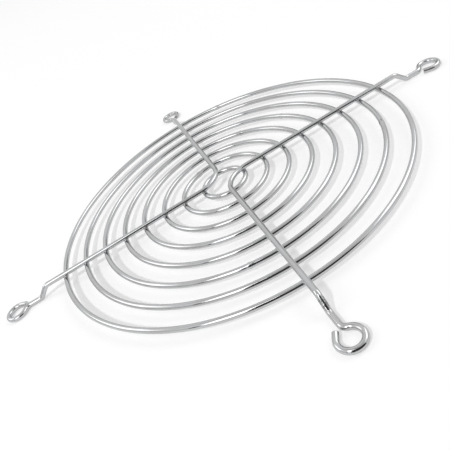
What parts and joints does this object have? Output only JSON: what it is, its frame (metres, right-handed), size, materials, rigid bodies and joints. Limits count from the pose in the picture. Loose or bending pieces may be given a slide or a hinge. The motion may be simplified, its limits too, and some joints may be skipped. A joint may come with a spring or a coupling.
{
  "type": "wire fan guard",
  "caption": "Round welded wire guard for a square-flanged fan: concentric rings under two bent spoke wires, with an open screw eye at each corner.",
  "frame": {"origin": "on the guard's axis, in the plane that the four screw eyes lie on, which is the face of the fan frame", "axes": "+Z along the guard's axis, out from the fan; +X and +Y along the sides of the square of screw eyes, and the spokes run along its diagonals"},
  "size_m": [0.114, 0.114, 0.0046],
  "materials": {
    "plated_wire": "bright nickel-chrome plate over drawn steel wire"
  },
  "bodies": {
    "root": {"ring_1": "plated_wire", "ring_2": "plated_wire", "ring_3": "plated_wire", "ring_4": "plated_wire", "ring_5": "plated_wire", "ring_6": "plated_wire", "ring_7": "plated_wire", "ring_8": "plated_wire", "spoke_wire_right": "plated_wire", "spoke_wire_left": "plated_wire"}
  },
  "joints": []
}
